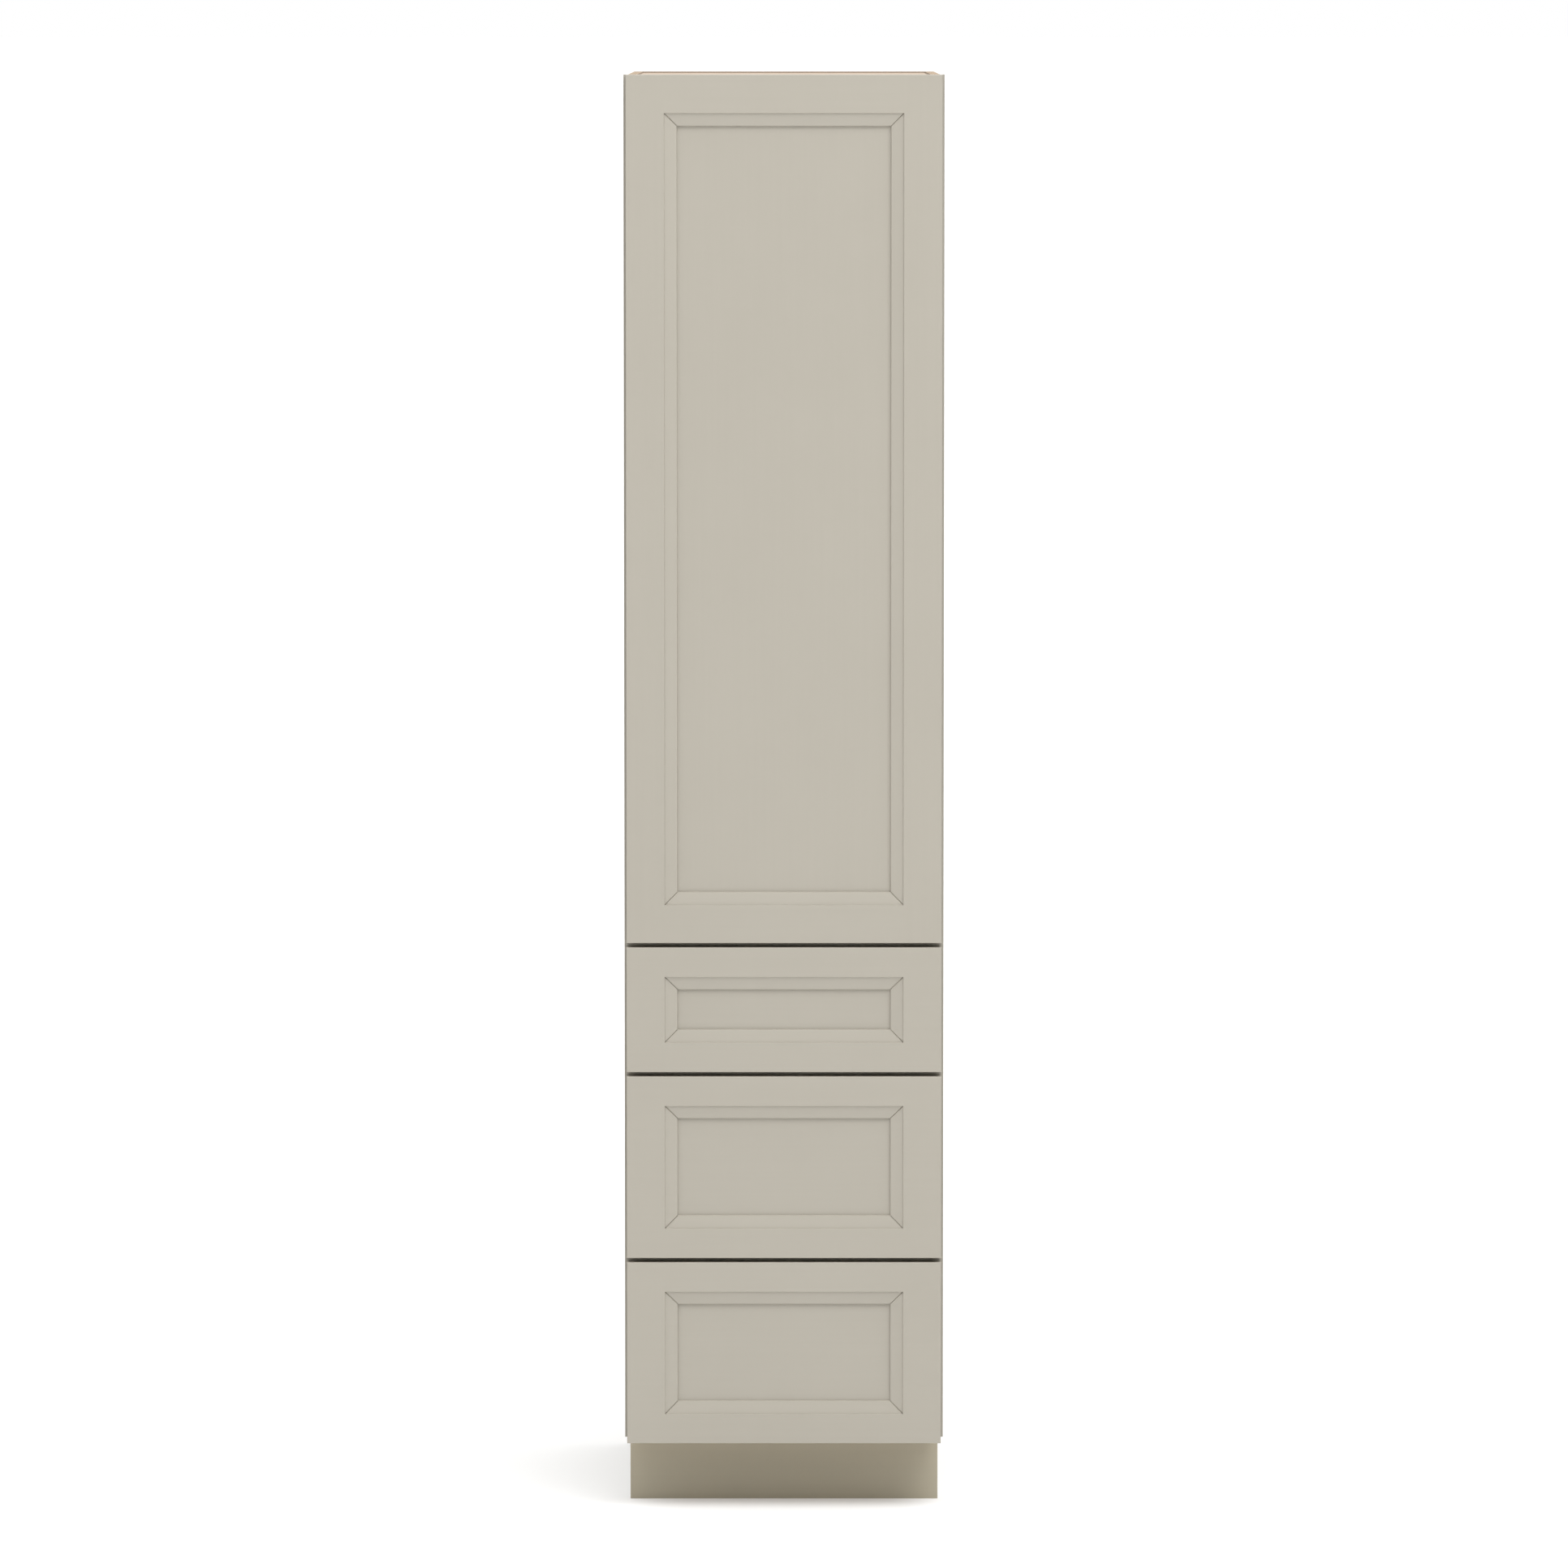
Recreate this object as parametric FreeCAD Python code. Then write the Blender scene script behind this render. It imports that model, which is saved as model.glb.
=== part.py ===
import FreeCAD, Part
import math
import os

# Tall pantry cabinet with a hardwood face frame. One full-overlay door covers the shelves and three
# full-overlay drawers stand below it, over a recessed toe kick. Nothing stands out of the fronts.
# +X is to the right, +Y towards the wall and +Z up. The origin is on the floor, under the middle of
# the cabinet's outline. Lengths are in millimetres.

# Overall size
WIDTH = 457.2  # across the face frame
HEIGHT = 2057.4
CASE_DEPTH = 609.6  # wall to the front of the face frame
FRONT_T = 19.05  # door and drawer fronts
FRONT_GAP = 2.4  # between the fronts and the face frame, taken up by the hinges and bumpers

# Sheet and frame thicknesses
FRAME_T = 19.05
FRAME_W = 38.1
PLY_T = 12.7
THIN_PLY_T = 6.35
SHELF_T = 19.05
DADO = 6.35  # depth of the grooves that hold the decks and the back in the sides
CASE_INSET = 6.35  # the sides stand this far in from the edge of the face frame
TOP_RECESS = 2.4  # the top panel lies this far below the upper edges of the sides and back
HANGING_RAIL_HEIGHT = 76.2

# Toe space
TOE_HEIGHT = 101.6
TOE_DEPTH = 76.2

# Fronts: drawers are numbered from the top
REVEAL = 6.35  # gap between one front and the next
SIDE_REVEAL = 3.175
FRONT_BOTTOM = 95.25
DRAWER_FRONT_HEIGHTS = (179.4, 262.0, 262.0)
STILE_FLAT = 54.5
DOOR_RAIL_FLAT = 54.5
DRAWER_RAIL_FLAT = 42.4
EDGE_EASE = 1.0

# Sticking along the inside of each front's frame, as (depth below the face, distance in from the flat)
STICKING = ((0.0, 0.0), (2.0, 0.5), (5.9, 18.0), (9.7, 18.8))
SEAM_HALF = 0.8  # half the width of the small V along each mitre of the sticking
SEAM_DEPTH = 1.3
PANEL_T = 6.35
PANEL_GROOVE = 9.5
PANEL_FLOAT = 1.5

# Drawer boxes
BOX_WIDTH = 371.0
BOX_LENGTH = 533.4
BOX_BOARD = 15.875
BOX_HEIGHTS = (108.0, 165.1, 165.1)
BOX_LIFT = 14.3  # bottom edge of a box above the rail below it
BOX_BOTTOM_RISE = 12.7  # underside of the bottom above the bottom edge of the box
TAIL_PITCH = 27.5
TAIL_SHARE = 0.62  # widest part of a tail, as a share of the pitch
TAIL_ANGLE = 8.0

# Undermount slides, measured from the middle of the cabinet and the bottom edge of the box
RUNNER_X = (147.0, 168.6)
RUNNER_WALL = 1.2
RUNNER_PLATE = 1.5
RUNNER_LENGTH = 525.0
RUNNER_START = 3.0  # behind the back of the face frame
RUNNER_BASE_DROP = 10.0
RUNNER_LIP_DROP = 0.5
RUNNER_FLANGE_RISE = 22.0
MEMBER_GAP = 2.3  # sideways room between the middle member and the runner's walls
MEMBER_Z = (-4.0, 6.7)
DRAWER_RUNNER_LIP_RISE = 1.5
ROLLER_R = 1.95
ROLLER_AXLE_R = 0.8
CHEEK_END = 1.3  # metal of the cheek beyond the middle of the axle
ROLLER_DROP = 2.2
ROLLER_ROOM = 0.3
ROLLER_SHARES = (0.04, 0.4)  # places of the rollers, as shares of the length from either end
RUNNER_SCREW_SHARES = (0.08, 0.5, 0.92)
SPACER_HEIGHT = 60.0

SAME_PLACE = 0.001  # two places closer than this are one

# Shelves and pins
SHELF_COUNT = 4
HOLE_PITCH = 32.0
HOLE_COUNT = 32
FIRST_HOLE_RISE = 96.0  # above the divider deck
FIRST_SHELF_HOLE = 4
SHELF_HOLE_STEP = 8
HOLE_R = 2.5
HOLE_DEPTH = 10.0
PIN_R = 2.45
PIN_REACH = 8.0
PIN_WIDTH = 9.0
PIN_ROWS_Y = (-215.0, 245.0)
SHELF_SIDE_ROOM = 1.5
SHELF_FRONT_ROOM = 20.0
SHELF_BACK_ROOM = 4.0

# Door hinges: one pin through a cup bored into the door and an arm round the stile's edge
HINGE_END = 95.0  # from the ends of the door to the outer hinges
CUP_R = 17.5
CUP_DEPTH = 12.7
CUP_WALL = 0.8
CUP_EDGE = 2.5  # wood left between the cup and the edge of the door
RIM_R = 18.7
RIM_T = 0.8
EAR_HALF = 24.0
EAR_R = 6.0
CUP_SCREW_Z = 22.5
PIVOT_IN = 6.2  # from the edge of the door
PIVOT_FORWARD = 8.8  # in front of the back of the door
HINGE_PIN_R = 1.0
HINGE_PIN_HALF = 9.3
PIN_BOSS_R = 2.2
PIN_BOSS_GAP = 5.5  # from the middle of the cup to the bosses that hold the pin's ends
PIN_PLAY = 0.05
KNUCKLE_R = 1.9
ARM_HALF = 4.0
ARM_T = 1.2
ARM_REACH = 20.0
ARM_BEND = 4.5
PLATE_HALF = 25.0
ARM_SCREW_Z = 17.0

# Screws and bumpers
SCREW_R = 1.6
SCREW_LENGTH = 14.0
HEAD_R = 3.4
HEAD_T = 1.5
HEAD_EDGE = 0.9  # rounding of the head
BUMPER_R = 5.0
BUMPER_T = 2.1
BUMPER_INSET = 14.0

# Planes and levels worked out from the sizes above
Y_BACK = (CASE_DEPTH + FRONT_GAP + FRONT_T) / 2
Y_FRAME = Y_BACK - CASE_DEPTH
Y_CASE = Y_FRAME + FRAME_T
Y_FRONT_BACK = Y_FRAME - FRONT_GAP
Y_FRONT = Y_FRONT_BACK - FRONT_T
Y_TOE = Y_FRAME + TOE_DEPTH
Y_RAILS = Y_BACK - PLY_T
Y_BACK_PANEL = Y_RAILS - THIN_PLY_T
X_FRAME = WIDTH / 2
X_OPEN = X_FRAME - FRAME_W
X_CASE = X_FRAME - CASE_INSET
X_INSIDE = X_CASE - PLY_T
X_DADO = X_INSIDE + DADO
X_FRONT = X_FRAME - SIDE_REVEAL
X_BOX = BOX_WIDTH / 2
Z_BOTTOM_DECK = TOE_HEIGHT + FRAME_W
STICK_W = STICKING[-1][1]
PANEL_DEPTH = STICKING[-1][0]


def front_spans():
    """Lowest and highest level of each front: the three drawers from the top, then the door."""
    spans = []
    low = FRONT_BOTTOM
    for height in reversed(DRAWER_FRONT_HEIGHTS):
        spans.insert(0, (low, low + height))
        low += height + REVEAL
    return spans, (low, HEIGHT)


DRAWER_SPANS, DOOR_SPAN = front_spans()
# Middle rails of the face frame lie behind the gaps between the fronts, named by their middle level
RAIL_LEVELS = [high + REVEAL / 2 for low, high in DRAWER_SPANS]
Z_DIVIDER = RAIL_LEVELS[0] + FRAME_W / 2
Z_FIRST_HOLE = Z_DIVIDER + FIRST_HOLE_RISE
# Openings of the drawers start on top of the rail below, and the box is lifted above that
OPENING_FLOORS = [RAIL_LEVELS[1] + FRAME_W / 2, RAIL_LEVELS[2] + FRAME_W / 2, Z_BOTTOM_DECK]
PIVOT = (-X_FRONT + PIVOT_IN, Y_FRONT_BACK - PIVOT_FORWARD)
HINGE_LEVELS = (DOOR_SPAN[0] + HINGE_END, sum(DOOR_SPAN) / 2, DOOR_SPAN[1] - HINGE_END)


def point(x, y, z):
    return FreeCAD.Vector(x, y, z)


def box(x, y, z):
    """Block between the two values of each pair."""
    low = point(min(x), min(y), min(z))
    return Part.makeBox(abs(x[1] - x[0]), abs(y[1] - y[0]), abs(z[1] - z[0]), low)


def rod(start, direction, radius, length):
    return Part.makeCylinder(radius, length, point(*start), point(*direction))


def prism(corners, travel):
    """Solid swept from a flat outline of corners along the vector travel."""
    outline = Part.makePolygon([point(*c) for c in corners] + [point(*corners[0])])
    return Part.Face(outline).extrude(point(*travel))


def fused(solids):
    joined = solids[0]
    for solid in solids[1:]:
        joined = joined.fuse(solid)
    return joined.removeSplitter()


def mirrored(solid):
    return solid.mirror(point(0, 0, 0), point(1, 0, 0))


def both_sides(solid):
    return [solid, mirrored(solid)]


def raised(solid, level):
    copy = solid.copy()
    copy.translate(point(0, 0, level))
    return copy


def save(node, solids):
    """Write one sub-part, which is one solid or a group of separate ones."""
    shape = solids[0] if len(solids) == 1 else Part.makeCompound(solids)
    shape.exportStep("parts/" + node + ".step")


def screw(head_at, direction):
    """Pan-head screw: head_at is the middle of the head's underside, direction is the way it is driven."""
    way = point(*direction)
    start = point(*head_at) - way * HEAD_T
    head = Part.makeCylinder(HEAD_R, HEAD_T, start, way)
    head = head.makeFillet(HEAD_EDGE, [e for e in head.Edges if is_circle_at(e, start)])
    return head.fuse(rod(head_at, direction, SCREW_R, SCREW_LENGTH)).removeSplitter()


def is_circle_at(edge, centre):
    return isinstance(edge.Curve, Part.Circle) and edge.Curve.Center.distanceToPoint(centre) < SAME_PLACE


def drilled(solid, tools):
    for tool in tools:
        solid = solid.cut(tool)
    return solid


# ---- Case -------------------------------------------------------------------------------------


def shelf_holes():
    """Two columns of holes in the right side panel, each as the rod that bores it."""
    rods = []
    for y in PIN_ROWS_Y:
        for index in range(HOLE_COUNT):
            z = Z_FIRST_HOLE + index * HOLE_PITCH
            rods.append(rod((X_INSIDE, y, z), (1, 0, 0), HOLE_R, HOLE_DEPTH))
    return Part.makeCompound(rods)


def deck(top):
    return box((-X_DADO, X_DADO), (Y_CASE, Y_BACK_PANEL), (top - PLY_T, top))


def side_panel():
    """Right side: toe notch, grooves for the decks and back, and the shelf-pin holes."""
    panel = box((X_INSIDE, X_CASE), (Y_CASE, Y_BACK), (0, HEIGHT))
    notch = box((X_INSIDE, X_CASE), (Y_CASE, Y_TOE + THIN_PLY_T), (0, TOE_HEIGHT))
    for tool in (notch, top_panel(), divider_deck(), bottom_panel(), back_panel(), shelf_holes()):
        panel = panel.cut(tool)
    return panel


def top_panel():
    return deck(HEIGHT - TOP_RECESS)


def divider_deck():
    return deck(Z_DIVIDER)


def bottom_panel():
    return deck(Z_BOTTOM_DECK)


def back_panel():
    return box((-X_DADO, X_DADO), (Y_BACK_PANEL, Y_RAILS), (Z_BOTTOM_DECK - PLY_T, HEIGHT))


def hanging_rails():
    """Three strips between the sides, behind the back panel, that the wall screws go through."""
    height = HANGING_RAIL_HEIGHT
    levels = (Z_BOTTOM_DECK - PLY_T, Z_DIVIDER - height / 2, HEIGHT - height)
    return [box((-X_INSIDE, X_INSIDE), (Y_RAILS, Y_BACK), (z, z + height)) for z in levels]


def toe_kick_board():
    y = Y_TOE + THIN_PLY_T
    return box((-X_INSIDE, X_INSIDE), (y, y + PLY_T), (0, Z_BOTTOM_DECK - PLY_T))


def toe_kick_skin():
    return box((-X_CASE, X_CASE), (Y_TOE, Y_TOE + THIN_PLY_T), (0, TOE_HEIGHT))


def build_case():
    panel = side_panel()
    save("side_panel_right", [panel])
    save("side_panel_left", [mirrored(panel)])
    save("top_panel", [top_panel()])
    save("divider_deck", [divider_deck()])
    save("bottom_panel", [bottom_panel()])
    save("back_panel", [back_panel()])
    save("hanging_rails", hanging_rails())
    save("toe_kick_board", [toe_kick_board()])
    save("toe_kick_skin", [toe_kick_skin()])


# ---- Face frame -------------------------------------------------------------------------------


def build_face_frame(arm_screws):
    y = (Y_FRAME, Y_CASE)
    stile = box((X_OPEN, X_FRAME), y, (TOE_HEIGHT, HEIGHT))
    save("frame_stile_right", [stile])
    save("frame_stile_left", [drilled(mirrored(stile), arm_screws)])
    bottoms = {"top": HEIGHT - FRAME_W, "bottom": TOE_HEIGHT}
    for name, level in zip(("upper", "middle", "lower"), RAIL_LEVELS):
        bottoms[name] = level - FRAME_W / 2
    for name, z in bottoms.items():
        save("frame_rail_" + name, [box((-X_OPEN, X_OPEN), y, (z, z + FRAME_W))])


# ---- Shelves ----------------------------------------------------------------------------------


def shelf_hole_levels():
    holes = [FIRST_SHELF_HOLE + SHELF_HOLE_STEP * index for index in range(SHELF_COUNT)]
    return [Z_FIRST_HOLE + hole * HOLE_PITCH for hole in holes]


def shelf_pin(y, z):
    """Spoon pin for the right side: a peg in the hole and a flat tongue under the shelf."""
    peg_length = HOLE_DEPTH - SHELF_SIDE_ROOM
    peg = rod((X_INSIDE, y, z), (1, 0, 0), PIN_R, peg_length)
    half = PIN_WIDTH / 2
    tongue = box((X_INSIDE - PIN_REACH, X_INSIDE), (y - half, y + half), (z - HOLE_R / 2, z + HOLE_R))
    return peg.fuse(tongue).removeSplitter()


def build_shelves():
    x = X_INSIDE - SHELF_SIDE_ROOM
    y = (Y_CASE + SHELF_FRONT_ROOM, Y_BACK_PANEL - SHELF_BACK_ROOM)
    pins = []
    for index, hole in enumerate(shelf_hole_levels()):
        bottom = hole + HOLE_R
        save("shelf_" + str(index + 1), [box((-x, x), y, (bottom, bottom + SHELF_T))])
        for row in PIN_ROWS_Y:
            pins += both_sides(shelf_pin(row, hole))
    save("shelf_pins", pins)


# ---- Door and drawer fronts -------------------------------------------------------------------


def recess(x, z, start, end):
    """Rectangular hollow that narrows from one point of the sticking to the next."""
    (depth_a, in_a), (depth_b, in_b) = start, end
    return Part.makeWedge(
        x[0] + in_a, Y_FRONT + depth_a, z[0] + in_a, z[0] + in_b, x[0] + in_b,
        x[1] - in_a, Y_FRONT + depth_b, z[1] - in_a, z[1] - in_b, x[1] - in_b,
    )


def mitre_seams(x, z):
    """Small V cut down the valley of each mitred corner, across the slope of the sticking."""
    (depth_a, in_a), (depth_b, in_b) = STICKING[1], STICKING[2]
    run = in_b - in_a
    seams = []
    for corner_x, way_x in ((x[0], 1), (x[1], -1)):
        for corner_z, way_z in ((z[0], 1), (z[1], -1)):
            start = point(corner_x + way_x * in_a, Y_FRONT + depth_a, corner_z + way_z * in_a)
            across = point(way_x, 0, -way_z).normalize() * (2 * SEAM_HALF)
            lifted = start - point(0, SEAM_DEPTH, 0)
            corners = [lifted + across, lifted - across, start + point(0, SEAM_DEPTH, 0)]
            travel = (way_x * run, depth_b - depth_a, way_z * run)
            seams.append(prism([tuple(c) for c in corners], travel))
    return seams


def front_ring(span, rail_flat):
    """The front's whole frame in one piece, before it is divided at its joints."""
    ring = box((-X_FRONT, X_FRONT), (Y_FRONT, Y_FRONT_BACK), span)
    ring = ring.makeFillet(EDGE_EASE, [e for e in ring.Edges if e.BoundBox.YMax < Y_FRONT + SAME_PLACE])
    x = (-X_FRONT + STILE_FLAT, X_FRONT - STILE_FLAT)
    z = (span[0] + rail_flat, span[1] - rail_flat)
    for start, end in zip(STICKING, STICKING[1:]):
        ring = ring.cut(recess(x, z, start, end))
    ring = ring.cut(recess(x, z, (PANEL_DEPTH, STICK_W), (FRONT_T, STICK_W)))
    ring = drilled(ring, mitre_seams(x, z))
    groove_in = STICK_W - PANEL_GROOVE
    groove = recess(x, z, (PANEL_DEPTH, groove_in), (PANEL_DEPTH + PANEL_T, groove_in))
    return ring.cut(groove)


def front_members(span, rail_flat):
    """Stiles run the full height and meet the rails square; only the sticking is mitred."""
    ring = front_ring(span, rail_flat)
    flat = X_FRONT - STILE_FLAT
    low, high = span[0] + rail_flat, span[1] - rail_flat
    stile = [(X_FRONT, span[0]), (flat, span[0]), (flat, low), (flat - STICK_W, low + STICK_W),
             (flat - STICK_W, high - STICK_W), (flat, high), (flat, span[1]), (X_FRONT, span[1])]
    rail = [(-flat, span[0]), (flat, span[0]), (flat, low), (flat - STICK_W, low + STICK_W),
            (STICK_W - flat, low + STICK_W), (-flat, low)]
    top_rail = [(x, span[0] + span[1] - z) for x, z in rail]
    left_stile = [(-x, z) for x, z in stile]
    outlines = {"stile_left": left_stile, "stile_right": stile, "rail_top": top_rail, "rail_bottom": rail}
    members = {}
    for name, outline in outlines.items():
        region = prism([(x, Y_FRONT, z) for x, z in outline], (0, FRONT_T, 0))
        members[name] = ring.common(region)
    return members


def front_panel(span, rail_flat):
    edge = STICK_W - PANEL_GROOVE + PANEL_FLOAT
    x = X_FRONT - STILE_FLAT - edge
    z = (span[0] + rail_flat + edge, span[1] - rail_flat - edge)
    return box((-x, x), (Y_FRONT + PANEL_DEPTH, Y_FRONT + PANEL_DEPTH + PANEL_T), z)


def door_bumpers():
    x = X_FRONT - BUMPER_INSET
    levels = (DOOR_SPAN[0] + BUMPER_INSET, DOOR_SPAN[1] - BUMPER_INSET)
    return [rod((x, Y_FRONT_BACK, z), (0, 1, 0), BUMPER_R, BUMPER_T) for z in levels]


def build_door(cup_bores):
    members = front_members(DOOR_SPAN, DOOR_RAIL_FLAT)
    members["stile_left"] = drilled(members["stile_left"], cup_bores)
    for name, member in members.items():
        save("door_" + name, [member])
    save("door_panel", [front_panel(DOOR_SPAN, DOOR_RAIL_FLAT)])
    save("door_bumpers", door_bumpers())


# ---- Door hinges ------------------------------------------------------------------------------
# Each shape is drawn at level 0 and copied to the three hinge levels.


def cup_axis_x():
    return -X_FRONT + CUP_EDGE + CUP_R


def cup_bore():
    return rod((cup_axis_x(), Y_FRONT_BACK - CUP_DEPTH, 0), (0, 1, 0), CUP_R, CUP_DEPTH)


def hinge_pin():
    return rod((PIVOT[0], PIVOT[1], -HINGE_PIN_HALF), (0, 0, 1), HINGE_PIN_R, 2 * HINGE_PIN_HALF)


def cup_screws():
    y = Y_FRONT_BACK + RIM_T - HEAD_T
    return [screw((cup_axis_x(), y, side * CUP_SCREW_Z), (0, -1, 0)) for side in (-1, 1)]


def pin_bosses():
    """Thick places inside the cup, above and below the arm, that hold the ends of the pin."""
    bar = rod((PIVOT[0], PIVOT[1], -CUP_R), (0, 0, 1), PIN_BOSS_R, 2 * CUP_R).common(cup_bore())
    reach = (PIVOT[0] - CUP_R, PIVOT[0] + CUP_R)
    return bar.cut(box(reach, (PIVOT[1] - CUP_R, PIVOT[1] + CUP_R), (-PIN_BOSS_GAP, PIN_BOSS_GAP)))


def hinge_cup():
    """Pressed cup with a thin rim and two ears on the back of the door."""
    x = cup_axis_x()
    rim = rod((x, Y_FRONT_BACK, 0), (0, 1, 0), RIM_R, RIM_T)
    ears = [box((x - EAR_R, x + EAR_R), (Y_FRONT_BACK, Y_FRONT_BACK + RIM_T), (-EAR_HALF, EAR_HALF))]
    ears += [rod((x, Y_FRONT_BACK, side * EAR_HALF), (0, 1, 0), EAR_R, RIM_T) for side in (-1, 1)]
    cup = fused([cup_bore(), rim] + ears)
    floor = Y_FRONT_BACK - CUP_DEPTH + CUP_WALL
    hollow = rod((x, floor, 0), (0, 1, 0), CUP_R - CUP_WALL, CUP_DEPTH)
    cup = cup.cut(hollow).fuse(pin_bosses())
    return drilled(cup, [hinge_pin()] + cup_screws())


def link(start, end, thickness, half_width):
    """Flat strip with rounded ends between two points of the hinge's plan."""
    along = point(end[0] - start[0], end[1] - start[1], 0)
    across = point(-along.y, along.x, 0).normalize() * (thickness / 2)
    low = point(start[0], start[1], -half_width)
    corners = [low + across, low + across + along, low - across + along, low - across]
    strip = prism([tuple(c) for c in corners], (0, 0, 2 * half_width))
    ends = [rod((p[0], p[1], -half_width), (0, 0, 1), thickness / 2, 2 * half_width) for p in (start, end)]
    return fused([strip] + ends)


def arm_screws():
    y = (Y_FRAME + Y_CASE) / 2
    return [screw((-X_OPEN + ARM_T, y, side * ARM_SCREW_Z), (-1, 0, 0)) for side in (-1, 1)]


def hinge_arm():
    """Strip from the pin along the cup's floor, out of its mouth, and round the stile's inner edge."""
    x, y = PIVOT
    floor_y = y - KNUCKLE_R + ARM_T / 2
    gap_y = Y_FRAME - ARM_T / 2
    plate_x = -X_OPEN + ARM_T / 2
    path = [(x, floor_y), (x + ARM_REACH, floor_y), (x + ARM_REACH + ARM_BEND, gap_y), (plate_x, gap_y)]
    pieces = [rod((x, y, -ARM_HALF), (0, 0, 1), KNUCKLE_R, 2 * ARM_HALF)]
    pieces += [link(a, b, ARM_T, ARM_HALF) for a, b in zip(path, path[1:])]
    plate = box((-X_OPEN, -X_OPEN + ARM_T), (Y_FRAME - ARM_T / 2, Y_CASE), (-PLATE_HALF, PLATE_HALF))
    lip = box((x + ARM_REACH + ARM_BEND, plate_x), (Y_FRAME - ARM_T, Y_FRAME), (-2 * ARM_HALF, 2 * ARM_HALF))
    bore = rod((x, y, -ARM_HALF), (0, 0, 1), HINGE_PIN_R + PIN_PLAY, 2 * ARM_HALF)
    arm = fused(pieces + [plate, lip])
    return drilled(arm, [bore] + arm_screws())


def at_hinges(solids):
    return [raised(solid, level) for level in HINGE_LEVELS for solid in solids]


def build_hinges():
    save("hinge_cups", at_hinges([hinge_cup()]))
    save("hinge_pins", at_hinges([hinge_pin()]))
    save("hinge_cup_screws", at_hinges(cup_screws()))
    save("hinge_arms", at_hinges([hinge_arm()]))


# ---- Drawer boxes -----------------------------------------------------------------------------


def tails(y_end, y_root, z):
    """Dovetails that end the right side of a box: wedges, widest at y_end, through its thickness."""
    count = round((z[1] - z[0]) / TAIL_PITCH)
    pitch = (z[1] - z[0]) / count
    wide = pitch * TAIL_SHARE / 2
    narrow = wide - abs(y_end - y_root) * math.tan(math.radians(TAIL_ANGLE))
    x = X_BOX - BOX_BOARD
    wedges = []
    for index in range(count):
        middle = z[0] + pitch * (index + 0.5)
        corners = [(x, y_end, middle - wide), (x, y_end, middle + wide),
                   (x, y_root, middle + narrow), (x, y_root, middle - narrow)]
        wedges.append(prism(corners, (BOX_BOARD, 0, 0)))
    return wedges


def box_bottom(floor):
    """Plywood bottom in grooves of the sides and front, reaching back under the back board."""
    half = X_BOX - BOX_BOARD + DADO
    y = (Y_FRONT_BACK + BOX_BOARD - DADO, Y_FRONT_BACK + BOX_LENGTH)
    z = floor + BOX_BOTTOM_RISE
    return box((-half, half), y, (z, z + THIN_PLY_T))


def build_drawer_box(name, floor, height):
    y_front, y_back = Y_FRONT_BACK, Y_FRONT_BACK + BOX_LENGTH
    y_front_root, y_back_root = y_front + BOX_BOARD, y_back - BOX_BOARD
    top = floor + height
    back_low = floor + BOX_BOTTOM_RISE + THIN_PLY_T
    bottom = box_bottom(floor)
    front_tails = tails(y_front, y_front_root, (floor, top))
    back_tails = tails(y_back, y_back_root, (back_low, top))
    x = (X_BOX - BOX_BOARD, X_BOX)
    side = box(x, (y_front_root, y_back_root), (floor, top))
    below_back = box(x, (y_back_root, y_back), (floor, back_low))
    side = fused([side, below_back] + front_tails + back_tails).cut(bottom)
    front = box((-X_BOX, X_BOX), (y_front, y_front_root), (floor, top))
    back = box((-X_BOX, X_BOX), (y_back_root, y_back), (back_low, top))
    for tail in front_tails:
        front = drilled(front, both_sides(tail))
    for tail in back_tails:
        back = drilled(back, both_sides(tail))
    save(name + "_box_sides", both_sides(side))
    save(name + "_box_front", [front.cut(bottom)])
    save(name + "_box_back", [back])
    save(name + "_box_bottom", [bottom])


# ---- Drawer slides ----------------------------------------------------------------------------
# Drawn for the right side, from the bottom edge of the drawer box.


def runner_y():
    start = Y_CASE + RUNNER_START
    return (start, start + RUNNER_LENGTH)


def runner_walls(z):
    inner, outer = RUNNER_X
    return [box((inner, inner + RUNNER_WALL), runner_y(), z), box((outer - RUNNER_WALL, outer), runner_y(), z)]


def cabinet_runner(floor):
    """Channel that opens upwards, with a flange out to the spacer block and up it."""
    base = (floor - RUNNER_BASE_DROP, floor - RUNNER_BASE_DROP + RUNNER_PLATE)
    plate = box((RUNNER_X[0], X_OPEN), runner_y(), base)
    flange = box((X_OPEN - RUNNER_WALL, X_OPEN), runner_y(), (base[0], floor + RUNNER_FLANGE_RISE))
    return fused([plate, flange] + runner_walls((base[0], floor - RUNNER_LIP_DROP)))


def drawer_runner(floor):
    """Channel that opens downwards, screwed up against the drawer's bottom."""
    top = floor + BOX_BOTTOM_RISE
    plate = box(RUNNER_X, runner_y(), (top - RUNNER_PLATE, top))
    return fused([plate] + runner_walls((floor + DRAWER_RUNNER_LIP_RISE, top)))


def member_x():
    return (RUNNER_X[0] + RUNNER_WALL + MEMBER_GAP, RUNNER_X[1] - RUNNER_WALL - MEMBER_GAP)


def roller_places(floor):
    """Along the member and above or below it: rear and middle below, front and middle above."""
    start, end = runner_y()
    length = end - start
    low = floor + MEMBER_Z[0] - ROLLER_DROP
    high = floor + MEMBER_Z[1] + ROLLER_DROP
    below = [(end - length * share, low) for share in ROLLER_SHARES]
    return below + [(start + length * share, high) for share in ROLLER_SHARES]


def roller(y, z):
    inner, outer = member_x()
    wheel_x = inner + RUNNER_WALL + ROLLER_ROOM
    wheel = rod((wheel_x, y, z), (1, 0, 0), ROLLER_R, outer - inner - 2 * (RUNNER_WALL + ROLLER_ROOM))
    axle = rod((inner, y, z), (1, 0, 0), ROLLER_AXLE_R, outer - inner)
    return wheel.fuse(axle).removeSplitter()


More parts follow.
